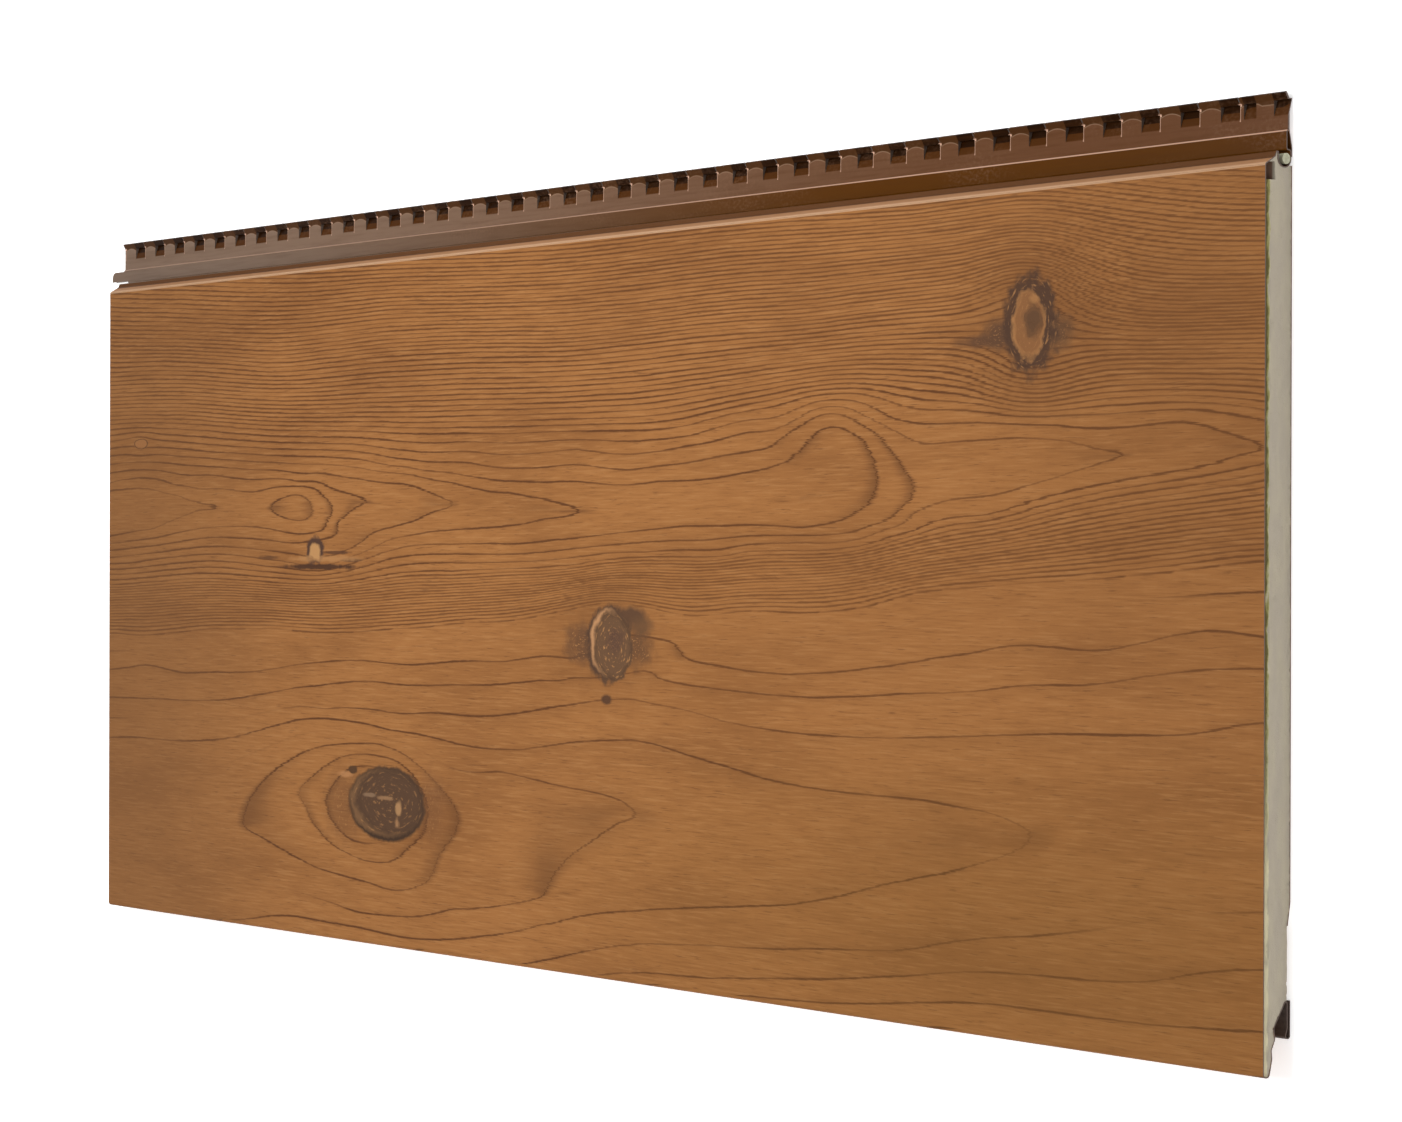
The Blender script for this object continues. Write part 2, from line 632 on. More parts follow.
@dataclass(frozen=True)
class BrownLacquer(Finish):
    """Glossy brown lacquer on the strip, the flange and the rest of the sheet.

    Attributes:
        fold_line: The fold under the flange, in millimetres from the middle, as all places here.
        flange_level: The flange's height above the back.
        first_recess: The left side of the first regular recess.
        last_recess: The right end of the regular ones.
        recess: The width of a recess.
        odd_recess: The sides of the narrow recess.
        end_recess: The left side of the one that the end cuts.
        cap_top: How far the middle of the cap over a tooth is above the fold.
        cap_drop: How much lower its sides are.
        recess_drop: How much lower the cap starts over a recess.
    """

    name: str = "brown_lacquer"
    coat: Colour = (113, 91, 74)
    coat_right: Colour = (82, 46, 6)
    hazy: Colour = (120, 96, 78)
    hazy_right: Colour = (96, 62, 39)
    deep: Colour = (72, 40, 13)
    cap: Colour = (72, 44, 22)
    dark: Colour = (34, 16, 4)
    lit: Colour = (158, 128, 104)
    dust: Colour = (124, 92, 70)
    worn: Colour = (206, 166, 142)
    fold_line: float = 205.3
    flange_level: float = 2.6
    first_recess: float = -491.1
    last_recess: float = 472.1
    pitch: float = 24.4
    recess: float = 11.6
    odd_recess: Point = (474.2, 481.6)
    end_recess: float = 491.9
    cap_top: float = 13.4
    cap_drop: float = 1.6
    recess_drop: float = 1.4

    def lay(self, paint: Paint) -> None:
        """Lays out the lacquer.

        Args:
            paint: The material in the making.
        """
        along = paint.along
        above = paint.minus(paint.up, self.fold_line)
        streaks = paint.streaks(0.6)
        scuffs = paint.scuffs(0.3)
        above_fold = paint.ramp(above, 0.0, 0.8)
        strip = paint.mix(paint.ramp(along, -420.0, 230.0), self.coat, self.coat_right)
        flange = paint.mix(paint.ramp(along, -420.0, 420.0), self.hazy, self.hazy_right)
        colour = paint.mix(above_fold, strip, flange)
        behind = paint.ramp(paint.out, self.flange_level - 0.03, self.flange_level - 0.2)
        pressed = paint.times(behind, above_fold)
        colour = paint.mix(pressed, colour, self.deep)
        over_recess, beside = self.over_recess(paint)
        arch = paint.scaled(paint.math("POWER", beside, 2.0), -self.cap_drop, self.cap_top)
        capped = paint.math("GREATER_THAN", above, paint.scaled(over_recess, -self.recess_drop, arch))
        colour = paint.mix(capped, colour, paint.mix(over_recess, self.cap, self.dark))
        outline = paint.ramp(paint.apart(above, arch), 0.12, 0.34, 0.45, 0.0)
        colour = paint.mix(paint.times(outline, paint.minus(1.0, over_recess)), colour, self.lit)
        colour = paint.mix(paint.ramp(streaks, 0.4, 0.75, 0.0, 0.3), colour, self.deep)
        colour = paint.mix(scuffs, colour, self.dust)
        on_bend = paint.ramp(paint.apart(above, 0.3), 0.15, 0.45, 1.0, 0.0)
        rubbed = paint.times(on_bend, paint.ramp(along, -150.0, 350.0, 0.5, 1.0))
        colour = paint.mix(paint.most(rubbed, self.worn_corners(paint, above)), colour, self.worn)
        raised = paint.ramp(paint.most(pressed, capped), 0.0, 1.0, 1.0, 0.0)
        wave = paint.noise(paint.place, (0.02, 0.12, 0.12), 2.0, 4.0)
        surface = {
            "Base Color": colour,
            "Roughness": paint.ramp(scuffs, 0.0, 0.4, 0.32, 0.45),
            "Specular IOR Level": 0.02,
            "Coat Weight": paint.times(raised, paint.ramp(along, -420.0, 300.0, 0.4, 0.05)),
            "Coat Roughness": 0.3,
        }
        paint.dress(surface, paint.scaled(wave, 5.0, streaks), 0.00008, 0.35)

    def step(self, paint: Paint) -> Socket:
        """How far a place is past the left side of the regular recess before it."""
        return paint.math("FLOORED_MODULO", paint.minus(paint.along, self.first_recess), self.pitch)

    def over_recess(self, paint: Paint) -> tuple[Socket, Socket]:
        """Where the flange is pressed in.

        Args:
            paint: The material in the making.

        Returns:
            The mask of the recesses, and how far a place is from the middle of the land, from -1 to 1.
        """
        along = paint.along
        step = self.step(paint)
        inside = paint.math("LESS_THAN", step, self.recess)
        regular = paint.times(inside, paint.math("LESS_THAN", along, self.last_recess))
        first, last = self.odd_recess
        odd = paint.times(paint.math("GREATER_THAN", along, first), paint.math("LESS_THAN", along, last))
        end = paint.math("GREATER_THAN", along, self.end_recess)
        land = self.pitch - self.recess
        beside = paint.times(paint.minus(step, self.recess + land / 2), 2 / land)
        return paint.most(paint.most(regular, odd), end), paint.math("MINIMUM", paint.most(beside, -1.0), 1.0)

    def worn_corners(self, paint: Paint, above: Socket) -> Socket:
        """Bright corners at the right side and the top of each regular recess.

        Args:
            paint: The material in the making.
            above: The height above the fold line in millimetres.

        Returns:
            The mask's socket.
        """
        side = paint.apart(self.step(paint), self.recess)
        wall = paint.times(paint.ramp(side, 0.2, 0.45, 0.65, 0.0), paint.math("GREATER_THAN", above, 6.2))
        wall = paint.times(wall, paint.ramp(above, 12.0, 13.5, 1.0, 0.3))
        near_top = paint.ramp(paint.apart(above, 13.2), 0.3, 0.8, 1.0, 0.0)
        notch = paint.times(paint.ramp(side, 0.7, 1.3, 1.0, 0.0), near_top)
        regular = paint.math("LESS_THAN", paint.along, self.last_recess + 1.0)
        return paint.times(paint.most(wall, notch), regular)


@dataclass(frozen=True)
class Primer(Finish):
    """Dull primer in the groove and the hook and on the sheared edges of the steel."""

    name: str = "reverse_primer"
    coat: Colour = (96, 82, 74)
    streak: Colour = (80, 66, 58)
    dust: Colour = (126, 114, 104)
    sheared: Colour = (84, 64, 54)

    def lay(self, paint: Paint) -> None:
        """Lays out the primer.

        Args:
            paint: The material in the making.
        """
        streaks = paint.streaks(0.6)
        colour = paint.mix(paint.ramp(streaks, 0.3, 0.7), self.coat, self.streak)
        colour = paint.mix(paint.scuffs(0.8), colour, self.dust)
        colour = paint.mix(paint.from_cut(0.2, 0.05), colour, self.sheared)
        paint.dress({"Base Color": colour, "Roughness": 0.5}, streaks, 0.00006, 0.5)


@dataclass(frozen=True)
class RigidFoam(Finish):
    """Sawn foam with small pores, an olive scorched skin behind the face and a pale torn band."""

    name: str = "sawn_foam"
    body: Colour = (160, 150, 134)
    body_light: Colour = (166, 156, 136)
    pale: Colour = (208, 198, 162)
    olive: Colour = (140, 132, 74)
    skin: Colour = (92, 82, 38)
    pit: Colour = (120, 110, 84)
    inner: Colour = (112, 84, 66)

    def lay(self, paint: Paint) -> None:
        """Lays out the foam.

        Args:
            paint: The material in the making.
        """
        place = paint.place
        ragged = paint.scaled(paint.waver(place, (0.3, 0.09, 0.6), 3.0), 3.2, paint.out)
        cloud = paint.noise(place, (0.08, 0.03, 0.2), 3.0, 6.0)
        colour = paint.mix(paint.ramp(cloud, 0.35, 0.7), self.body, self.body_light)
        colour = paint.mix(paint.ramp(ragged, 12.6, 13.8, 0.0, 0.9), colour, self.pale)
        upper = paint.ramp(paint.up, -130.0, -20.0)
        for start, end, band in ((12.9, 13.6, self.olive), (13.6, 14.1, self.skin)):
            colour = paint.mix(paint.times(paint.ramp(ragged, start, end), upper), colour, band)
        pores = paint.cells(1.3)
        rare = paint.noise(place, (0.25, 0.12, 0.3), 2.0, 13.0)
        pits = paint.times(paint.ramp(pores, 0.22, 0.1), paint.ramp(rare, 0.6, 0.68))
        colour = paint.mix(paint.times(pits, 0.7), colour, self.pit)
        colour = paint.mix(paint.from_cut(0.8, 2.0), colour, self.inner)
        grain = paint.noise(place, (1.6, 1.6, 1.6), 3.0, 1.0)
        height = paint.scaled(paint.math("MINIMUM", pores, 0.4), 1.5, grain)
        paint.dress({"Base Color": colour, "Roughness": 0.85}, height, 0.0003, 0.5)


@dataclass(frozen=True)
class BackFacing(Finish):
    """Embossed aluminium-coated facing glued to the back of the foam."""

    name: str = "embossed_facing"
    coat: Colour = (196, 194, 188)
    dust: Colour = (160, 156, 146)
    cut: Colour = (116, 78, 66)

    def lay(self, paint: Paint) -> None:
        """Lays out the facing.

        Args:
            paint: The material in the making.
        """
        scuffs = paint.scuffs(0.6)
        colour = paint.mix(scuffs, self.coat, self.dust)
        colour = paint.mix(paint.from_cut(0.2, 0.05), colour, self.cut)
        rough = paint.ramp(scuffs, 0.0, 1.0, 0.4, 0.6)
        surface = {"Base Color": colour, "Metallic": 0.75, "Roughness": rough}
        paint.dress(surface, paint.ramp(paint.cells(0.45), 0.2, 0.7), 0.00015, 0.6)


@dataclass(frozen=True)
class SealRope(Finish):
    """Soft pale bead in the channel of the tongue."""

    name: str = "seal_bead"
    body: Colour = (182, 180, 152)
    body_dark: Colour = (158, 156, 132)
    dust: Colour = (128, 120, 96)

    def lay(self, paint: Paint) -> None:
        """Lays out the bead's finish.

        Args:
            paint: The material in the making.
        """
        cloud = paint.noise(paint.place, (0.15, 0.4, 0.4), 3.0)
        colour = paint.mix(paint.ramp(cloud, 0.35, 0.7), self.body, self.body_dark)
        colour = paint.mix(paint.scuffs(0.8), colour, self.dust)
        paint.dress({"Base Color": colour, "Roughness": 0.7}, cloud, 0.0003, 0.5)


@dataclass(frozen=True)
class PaleFloor(Finish):
    """The studio's pale floor, which gives off a little light."""

    name: str = "studio_floor"
    shade: Colour = (250, 250, 250)
    ground: Colour = (254, 254, 254)
    glow: Colour = (255, 255, 255)

    def lay(self, paint: Paint) -> None:
        """Lays out the floor.

        Args:
            paint: The material in the making.
        """
        cloud = paint.noise(paint.place, (0.001, 0.001, 0.001), 1.0)
        surface = {
            "Base Color": paint.mix(cloud, self.shade, self.ground),
            "Roughness": 0.9,
            "Emission Color": paint.mix(cloud, self.shade, self.glow),
            "Emission Strength": 0.55,
        }
        paint.feed(paint.surface, surface)


@dataclass(frozen=True)
class Guide:
    """Places that one year ring passes through.

    Attributes:
        ring: The ring's number, which rises away from the middle of the upper tongues.
        places: Points in half millimetres, across from the left end and down from the top edge.
    """

    ring: float
    places: tuple[Point, ...]


@dataclass(frozen=True)
class Faded:
    """A stretch of one ring that the print leaves out.

    Attributes:
        ring: The ring's number.
        left: Where it starts, in half millimetres from the left end.
        right: Where it ends.
        top: The highest place that it reaches, in half millimetres from the top edge.
        bottom: The lowest.
    """

    ring: float
    left: float
    right: float
    top: float
    bottom: float


UPPER_GUIDES = (
    Guide(39, ((2000, 0),)),
    Guide(37, ((1850, 0),)),
    Guide(35, ((1560, 0), (1700, 0))),
    Guide(34, ((1000, 0), (1300, 0))),
    Guide(33, ((750, 0),)),
    Guide(32, ((500, 0),)),
    Guide(30.5, ((250, 0),)),
    Guide(29, ((0, 0),)),
    Guide(27, ((650, 48), (1000, 60), (1300, 58), (1560, 58), (1700, 64), (1850, 88), (2000, 98))),
    Guide(21, ((1000, 110), (1400, 106), (1600, 104), (1740, 114), (1850, 130), (2000, 134))),
    Guide(20, ((400, 112), (650, 110))),
    Guide(18, ((0, 108), (120, 110))),
    Guide(9, (
        (60, 170), (250, 178), (450, 190), (650, 199), (800, 204), (1000, 207), (1200, 207), (1300, 194),
        (1375, 185), (1421, 179), (1475, 183), (1517, 198), (1567, 205), (1612, 204), (1675, 200),
        (1717, 201), (1779, 212), (1842, 215), (1904, 213), (1946, 221), (1979, 229), (1998, 237),
        (1967, 244), (1925, 252), (1862, 258), (1800, 265), (1717, 277), (1654, 290), (1550, 304),
        (1467, 319), (1383, 323), (1300, 324), (1129, 331), (1000, 340), (775, 345), (650, 349),
    )),
    Guide(8, (
        (1000, 217), (1200, 217), (1300, 206), (1342, 204), (1375, 196), (1421, 185), (1467, 192),
        (1508, 206), (1558, 223), (1592, 223), (1654, 219), (1717, 217), (1758, 223), (1800, 233),
        (1829, 238), (1800, 246), (1758, 254), (1717, 262), (1675, 270), (1612, 275), (1550, 287),
        (1500, 304), (1383, 315), (1254, 321), (1129, 325), (1004, 331), (775, 335),
    )),
    Guide(7, (
        (800, 226), (942, 235), (1100, 240), (1200, 234), (1300, 225), (1333, 221), (1362, 208),
        (1392, 198), (1421, 192), (1454, 196), (1483, 208), (1512, 227), (1533, 246), (1547, 265),
        (1544, 275), (1525, 287), (1500, 296), (1467, 303), (1383, 308), (1254, 310), (1129, 314),
        (1004, 321), (775, 326), (650, 331),
    )),
    Guide(6, (
        (60, 192), (250, 203), (458, 213), (650, 227), (712, 233), (796, 240), (867, 247), (942, 250),
        (1150, 252), (1233, 251), (1296, 246), (1342, 240), (1375, 229), (1396, 215), (1421, 205),
        (1446, 207), (1475, 219), (1490, 237), (1495, 258), (1487, 273), (1467, 285), (1437, 294),
        (1383, 300), (1254, 298), (1192, 298), (1129, 302), (1067, 306), (1004, 310), (900, 315),
        (775, 315), (650, 322), (250, 334), (60, 343), (0, 345),
    )),
    Guide(5, (
        (60, 202), (250, 211), (458, 222), (583, 228), (650, 235), (692, 238), (775, 248), (879, 260),
        (942, 267), (983, 273), (1012, 280), (983, 287), (942, 290), (879, 296), (817, 298), (733, 301),
        (650, 309), (570, 328), (380, 332), (250, 326), (60, 336), (0, 338),
    )),
    Guide(4, (
        (0, 214), (60, 212), (250, 221), (400, 228), (500, 233), (583, 241), (650, 247), (692, 250),
        (733, 259), (775, 271), (733, 280), (692, 290), (650, 296), (583, 315), (542, 325), (390, 322),
        (250, 317), (60, 327), (0, 330),
    )),
    Guide(3, (
        (0, 225), (60, 222), (250, 231), (354, 238), (458, 242), (521, 250), (562, 257), (600, 266),
        (567, 277), (537, 292), (512, 312), (400, 311), (250, 306), (60, 318), (0, 321),
    )),
    Guide(2, (
        (0, 237), (62, 232), (117, 234), (167, 242), (229, 248), (354, 252), (417, 247), (458, 247),
        (492, 252), (521, 267), (526, 279), (512, 296), (490, 304), (400, 298), (354, 294), (250, 294),
        (60, 309), (0, 312),
    )),
    Guide(1, (
        (0, 247), (117, 248), (167, 255), (217, 263), (262, 267), (217, 274), (167, 283), (104, 295),
        (0, 303),
    )),
    Guide(0.5, ((0, 276), (110, 271))),
)

LOWER_GUIDES = (
    Guide(18, (
        (0, 430), (60, 432), (250, 421), (400, 418), (650, 415), (800, 405), (960, 396), (1200, 394),
        (1300, 387), (1560, 366), (1700, 357), (1850, 350), (2000, 338),
    )),
    Guide(19, (
        (0, 447), (250, 437), (420, 432), (650, 431), (800, 420), (940, 411), (1300, 407), (1383, 409),
        (1446, 403), (1529, 393), (1700, 374), (1850, 366), (2000, 358),
    )),
    Guide(20, (
        (0, 470), (42, 467), (96, 462), (137, 465), (183, 469), (250, 467), (333, 465), (417, 458),
        (500, 450), (604, 446), (700, 448), (775, 443), (879, 440), (962, 431), (996, 429), (1171, 415),
        (1196, 428), (1233, 434), (1296, 440), (1362, 442), (1446, 437), (1508, 431), (1571, 423),
        (1633, 416), (1696, 408), (1758, 410), (1808, 410), (1862, 402), (1925, 392), (1967, 392),
        (2000, 395),
    )),
    Guide(21, (
        (0, 505), (83, 504), (187, 503), (271, 500), (354, 492), (458, 480), (521, 475), (604, 469),
        (775, 468), (867, 465), (942, 457), (983, 452), (1004, 445), (1142, 438), (1150, 443), (1192, 453),
        (1254, 459), (1317, 462), (1383, 463), (1446, 461), (1529, 456), (1633, 451), (1696, 444),
        (1779, 441), (1862, 431), (1925, 425), (2000, 422),
    )),
    Guide(22, (
        (0, 530), (250, 524), (400, 508), (512, 503), (625, 501), (733, 500), (817, 501), (883, 497),
        (942, 489), (1004, 477), (1046, 467), (1075, 464), (1108, 465), (1142, 472), (1192, 480),
        (1254, 490), (1317, 496), (1404, 499), (1508, 498), (1612, 493), (1717, 487), (1842, 483),
        (1917, 479), (2000, 467),
    )),
    Guide(23, (
        (0, 555), (83, 552), (187, 552), (250, 549), (333, 539), (396, 527), (458, 517), (512, 514),
        (583, 516), (646, 522), (712, 525), (775, 531), (837, 535), (900, 534), (950, 528), (1004, 521),
        (1067, 516), (1117, 515), (1162, 520), (1212, 528), (1275, 537), (1317, 544), (1362, 548),
        (1446, 552), (1550, 553), (1612, 557), (1654, 560), (1687, 567), (1710, 575), (1654, 604),
        (1592, 619), (1550, 627), (1487, 640), (1425, 654), (1362, 665), (1296, 672), (1171, 683),
        (1108, 690), (1046, 697), (1004, 704), (942, 717), (858, 734), (775, 745), (692, 751), (583, 747),
        (442, 745), (330, 757),
    )),
    Guide(24, (
        (869, 559), (921, 563), (983, 568), (1046, 572), (1079, 576), (1104, 584), (1113, 593), (1087, 601),
        (1058, 613), (1025, 628), (996, 642), (977, 655), (960, 672), (942, 688), (925, 692), (883, 700),
        (817, 709), (775, 713), (712, 725), (650, 729), (583, 730),
    )),
    Guide(25, (
        (331, 647), (333, 630), (346, 613), (375, 592), (417, 572), (458, 557), (500, 547), (542, 542),
        (583, 539), (625, 538), (667, 545), (704, 558), (733, 571), (762, 588), (779, 601), (787, 613),
        (783, 626), (771, 638), (754, 651), (744, 663), (735, 677), (721, 688), (704, 693), (683, 698),
        (650, 700), (604, 695), (542, 690), (500, 686), (437, 674), (396, 664), (362, 656),
    )),
    Guide(26, (
        (455, 603), (471, 588), (500, 574), (533, 561), (575, 552), (617, 551), (667, 557), (692, 567),
        (712, 584), (725, 601), (725, 617), (717, 634), (687, 651), (667, 663), (637, 670), (604, 671),
        (562, 665), (521, 653), (492, 638), (471, 617),
    )),
    Guide(27, ((571, 567), (542, 580), (521, 597), (515, 607), (525, 626), (546, 640), (571, 649))),
    Guide(28.5, ((645, 609),)),
    Guide(22, (
        (880, 766), (908, 762), (983, 747), (1046, 734), (1129, 722), (1233, 715), (1300, 712), (1425, 703),
        (1533, 695), (1592, 684), (1654, 674), (1717, 667), (2000, 625),
    )),
    Guide(21, (
        (1015, 766), (1108, 753), (1233, 747), (1300, 742), (1425, 732), (1508, 722), (1592, 711),
        (1654, 705), (1862, 695), (1925, 682), (2000, 673),
    )),
    Guide(20, ((1300, 759), (1550, 743), (1654, 734), (2000, 725))),
    Guide(22.45, ((2000, 560), (1900, 575))),
    Guide(23.6, ((0, 640), (150, 640), (0, 766), (180, 700))),
)

FADED = (
    Faded(22, -20, 500, 500, 560),
    Faded(24, -20, 850, 480, 600),
    Faded(24, -20, 560, 600, 780),
    Faded(24, -20, 320, 480, 780),
    Faded(22, 1725, 2020, 560, 700),
    Faded(18, -20, 2020, 320, 480),
    Faded(19, -20, 2020, 360, 460),
    Faded(27, 575, 760, 540, 690),
    Faded(28, 500, 760, 540, 690),
)


class GrainMap:
    """The height field whose level lines are the year rings of the print.

    Attributes:
        squeeze: How much longer than wide the grain's features are.
        unit: The plate's unit in half millimetres.
        stiffness: How far the plate may miss a guide.
        outermost: The outermost ring of the upper tongues.
        fine_from: The ring above which more rings are drawn.
        fine_above: How many more to each.
        finer_from: The ring above which still more are drawn.
        finer_above: How many more to each.
        tongue_line: Where the lower rings start, in half millimetres from the top edge.
        probe: The step over which a slope is measured, in millimetres.
        batch: How many places are worked out at once.
        ring_half: How far from a ring its faded stretch reaches, in rings.
        fade: The share of ink that a faded stretch loses.
        fade_length: The length over which it fades, in half millimetres.
    """

    squeeze: float = 3.0
    unit: float = 100.0
    stiffness: float = 1e-4
    outermost: float = 9.0
    fine_from: float = 10.0
    fine_above: float = 0.42
    finer_from: float = 21.0
    finer_above: float = 0.5
    tongue_line: float = 240.0
    probe: float = 0.5
    batch: int = 4000
    ring_half: float = 0.45
    fade: float = 0.88
    fade_length: float = 90.0

    def __init__(self, guides: Sequence[Guide], top_edge: float) -> None:
        """Fits a thin plate through the guides.

        Args:
            guides: The rings' places.
            top_edge: The face's top edge in millimetres from the middle of the panel.
        """
        self.top_edge = top_edge
        places = np.array([place for guide in guides for place in guide.places], dtype=float)
        levels = np.array([guide.ring for guide in guides for _ in guide.places], dtype=float)
        self.knots = places / (self.squeeze, 1.0) / self.unit
        count = len(levels)
        system = np.zeros((count + 3, count + 3))
        system[:count, :count] = self.bend(self.knots, self.knots) + self.stiffness * np.eye(count)
        system[:count, count] = 1.0
        system[:count, count + 1:] = self.knots
        system[count:, :count] = system[:count, count:].T
        self.weights = np.linalg.solve(system, np.concatenate([levels, np.zeros(3)]))

    @staticmethod
    def bend(first: np.ndarray, second: np.ndarray) -> np.ndarray:
        """The thin plate's kernel between two lists of places.

        Args:
            first: Places, one to a row.
            second: Places, one to a row.

        Returns:
            The kernel, one row for each first place.
        """
        square = ((first[:, None, :] - second[None, :, :]) ** 2).sum(axis=2)
        return np.where(square > 0, 0.5 * square * np.log(np.maximum(square, 1e-12)), 0.0)

    def flat(self, across: np.ndarray, up: np.ndarray) -> np.ndarray:
        """Ring numbers with the rings parted round the knots.

        Args:
            across: Places along the panel in millimetres from its middle.
            up: Places across the panel in millimetres from its middle.

        Returns:
            The ring number at each place.
        """
        height = up.copy()
        for knot in PARTINGS:
            beside = (across - knot.centre[0]) / knot.reach[0]
            over = (up - knot.centre[1]) / knot.reach[1]
            height = height - (up - knot.centre[1]) * knot.push * np.exp(-(beside ** 2 + over ** 2))
        right = (across + HALF_LENGTH) * 2 / self.squeeze / self.unit
        places = np.stack([right, (self.top_edge - height) * 2 / self.unit], axis=1)
        rings = np.empty(len(places))
        for start in range(0, len(places), self.batch):
            part = places[start:start + self.batch]
            bent = self.bend(part, self.knots) @ self.weights[:-3]
            rings[start:start + self.batch] = bent + self.weights[-3] + part @ self.weights[-2:]
        return rings

    def crowd(self, ring: np.ndarray, down: np.ndarray) -> np.ndarray:
        """Ring numbers with more rings to the millimetre where the print is dense.

        Args:
            ring: The ring number at each place.
            down: The place in half millimetres from the top edge.

        Returns:
            The new ring numbers, which rise away from each tongue.
        """
        above = ring + self.fine_above * np.maximum(ring - self.fine_from, 0.0)
        above = above + self.finer_above * np.maximum(ring - self.finer_from, 0.0)
        inward = 2 * self.outermost + self.outermost - np.maximum(ring - 2 * self.outermost, 0.0)
        below = np.where(ring > 2 * self.outermost, inward, ring + np.maximum(ring - self.outermost, 0.0))
        return np.where(down < self.tongue_line, above, below)

    def attributes(self, points: np.ndarray) -> dict[str, np.ndarray]:
        """Works out the print's attributes.

        Args:
            points: Vertex places in metres.

        Returns:
            The ring number, its change per millimetre, its change along the panel and the share
            of ink, by attribute name.
        """
        across = np.clip(points[:, 0] / MM, -HALF_LENGTH, HALF_LENGTH)
        up = np.clip(points[:, 1] / MM, self.top_edge - COVER, self.top_edge)
        ring = self.flat(across, up)
        down = (self.top_edge - up) * 2
        crowded = self.crowd(ring, down)
        slope_across = (self.crowd(self.flat(across + self.probe, up), down) - crowded) / self.probe
        slope_up = (self.crowd(self.flat(across, up + self.probe), down) - crowded) / self.probe
        pace = np.hypot(slope_across, slope_up)
        ink = self.ink(ring, (across + HALF_LENGTH) * 2, down)
        return {"ring": crowded, "pace": pace, "lean": abs(slope_across), "ink": ink}

    def ink(self, ring: np.ndarray, right: np.ndarray, down: np.ndarray) -> np.ndarray:
        """The share of ink, less where a stretch of a ring is faded.

        Args:
            ring: The ring number at each place.
            right: The place in half millimetres from the left end.
            down: The place in half millimetres from the top edge.

        Returns:
            The share at each place.
        """
        ink = np.ones(len(ring))
        for gap in FADED:
            inside = (abs(ring - gap.ring) < self.ring_half) & (right > gap.left) & (right < gap.right)
            inside &= (down > gap.top) & (down < gap.bottom)
            near_end = np.minimum(right - gap.left, gap.right - right)
            faded = 1.0 - self.fade * np.clip(near_end / self.fade_length, 0.0, 1.0)
            ink[inside] = np.minimum(ink, faded)[inside]
        return ink


def merged_copy(node: bpy.types.Object, name: str) -> bmesh.types.BMesh:
    """Copies a CAD node's mesh with its loose triangles joined.

    Args:
        node: The CAD node.
        name: The name that the copy is for, used in the log.

    Returns:
        The joined mesh.
    """
    mesh = bmesh.new()
    mesh.from_mesh(node.data)
    mesh.transform(node.matrix_world)
    bmesh.ops.remove_doubles(mesh, verts=mesh.verts, dist=2e-6)
    bmesh.ops.dissolve_limit(mesh, angle_limit=math.radians(0.2), verts=mesh.verts, edges=mesh.edges)
    LOG.info("%s starts from %d CAD faces", name, len(mesh.faces))
    return mesh


def placed(name: str, data: bpy.types.ID) -> bpy.types.Object:
    """Puts an object with the given data into the scene."""
    made = bpy.data.objects.new(name, data)
    bpy.context.scene.collection.objects.link(made)
    return made


def piece_from(mesh: bmesh.types.BMesh, name: str, finishes: Finishes) -> bpy.types.Object:
    """Turns a bmesh into a finished piece.

    Args:
        mesh: The mesh, which is freed.
        name: The piece's name.
        finishes: Its materials.

    Returns:
        The object, smooth with sharp folds.
    """
    data = bpy.data.meshes.new(name)
    mesh.to_mesh(data)
    mesh.free()
    for finish in finishes:
        data.materials.append(finish)
    data.polygons.foreach_set("use_smooth", [True] * len(data.polygons))
    data.set_sharp_from_angle(angle=math.radians(32))
    return placed(name, data)


def grown(blank: bpy.types.Object, name: str, tree: bpy.types.NodeTree, values: dict) -> bpy.types.Object:
    """Runs a geometry group on a blank and keeps the result.

    Args:
        blank: The object to start from, which is removed.
        name: The piece's name.
        tree: The geometry group.
        values: Its inputs by name.

    Returns:
        The piece.
    """
    modifier = blank.modifiers.new(name, "NODES")
    modifier.node_group = tree
    for item in tree.interface.items_tree:
        if item.in_out == "INPUT" and item.name in values:
            modifier[item.identifier] = values[item.name]
    made = bpy.data.meshes.new_from_object(blank.evaluated_get(bpy.context.evaluated_depsgraph_get()))
    made.name = name
    bpy.data.objects.remove(blank)
    return placed(name, made)


def settle(piece: bpy.types.Object, slot: Slot, *nodes: str) -> None:
    """Declares a piece to the frame.

    Args:
        piece: The piece, in place.
        slot: The record's material slot.
        *nodes: CAD nodes that it stands for.
    """
    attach(piece, "root")
    if nodes:
        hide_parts(*nodes)
    LOG.info("%s has %d faces", piece.name, len(piece.data.polygons))


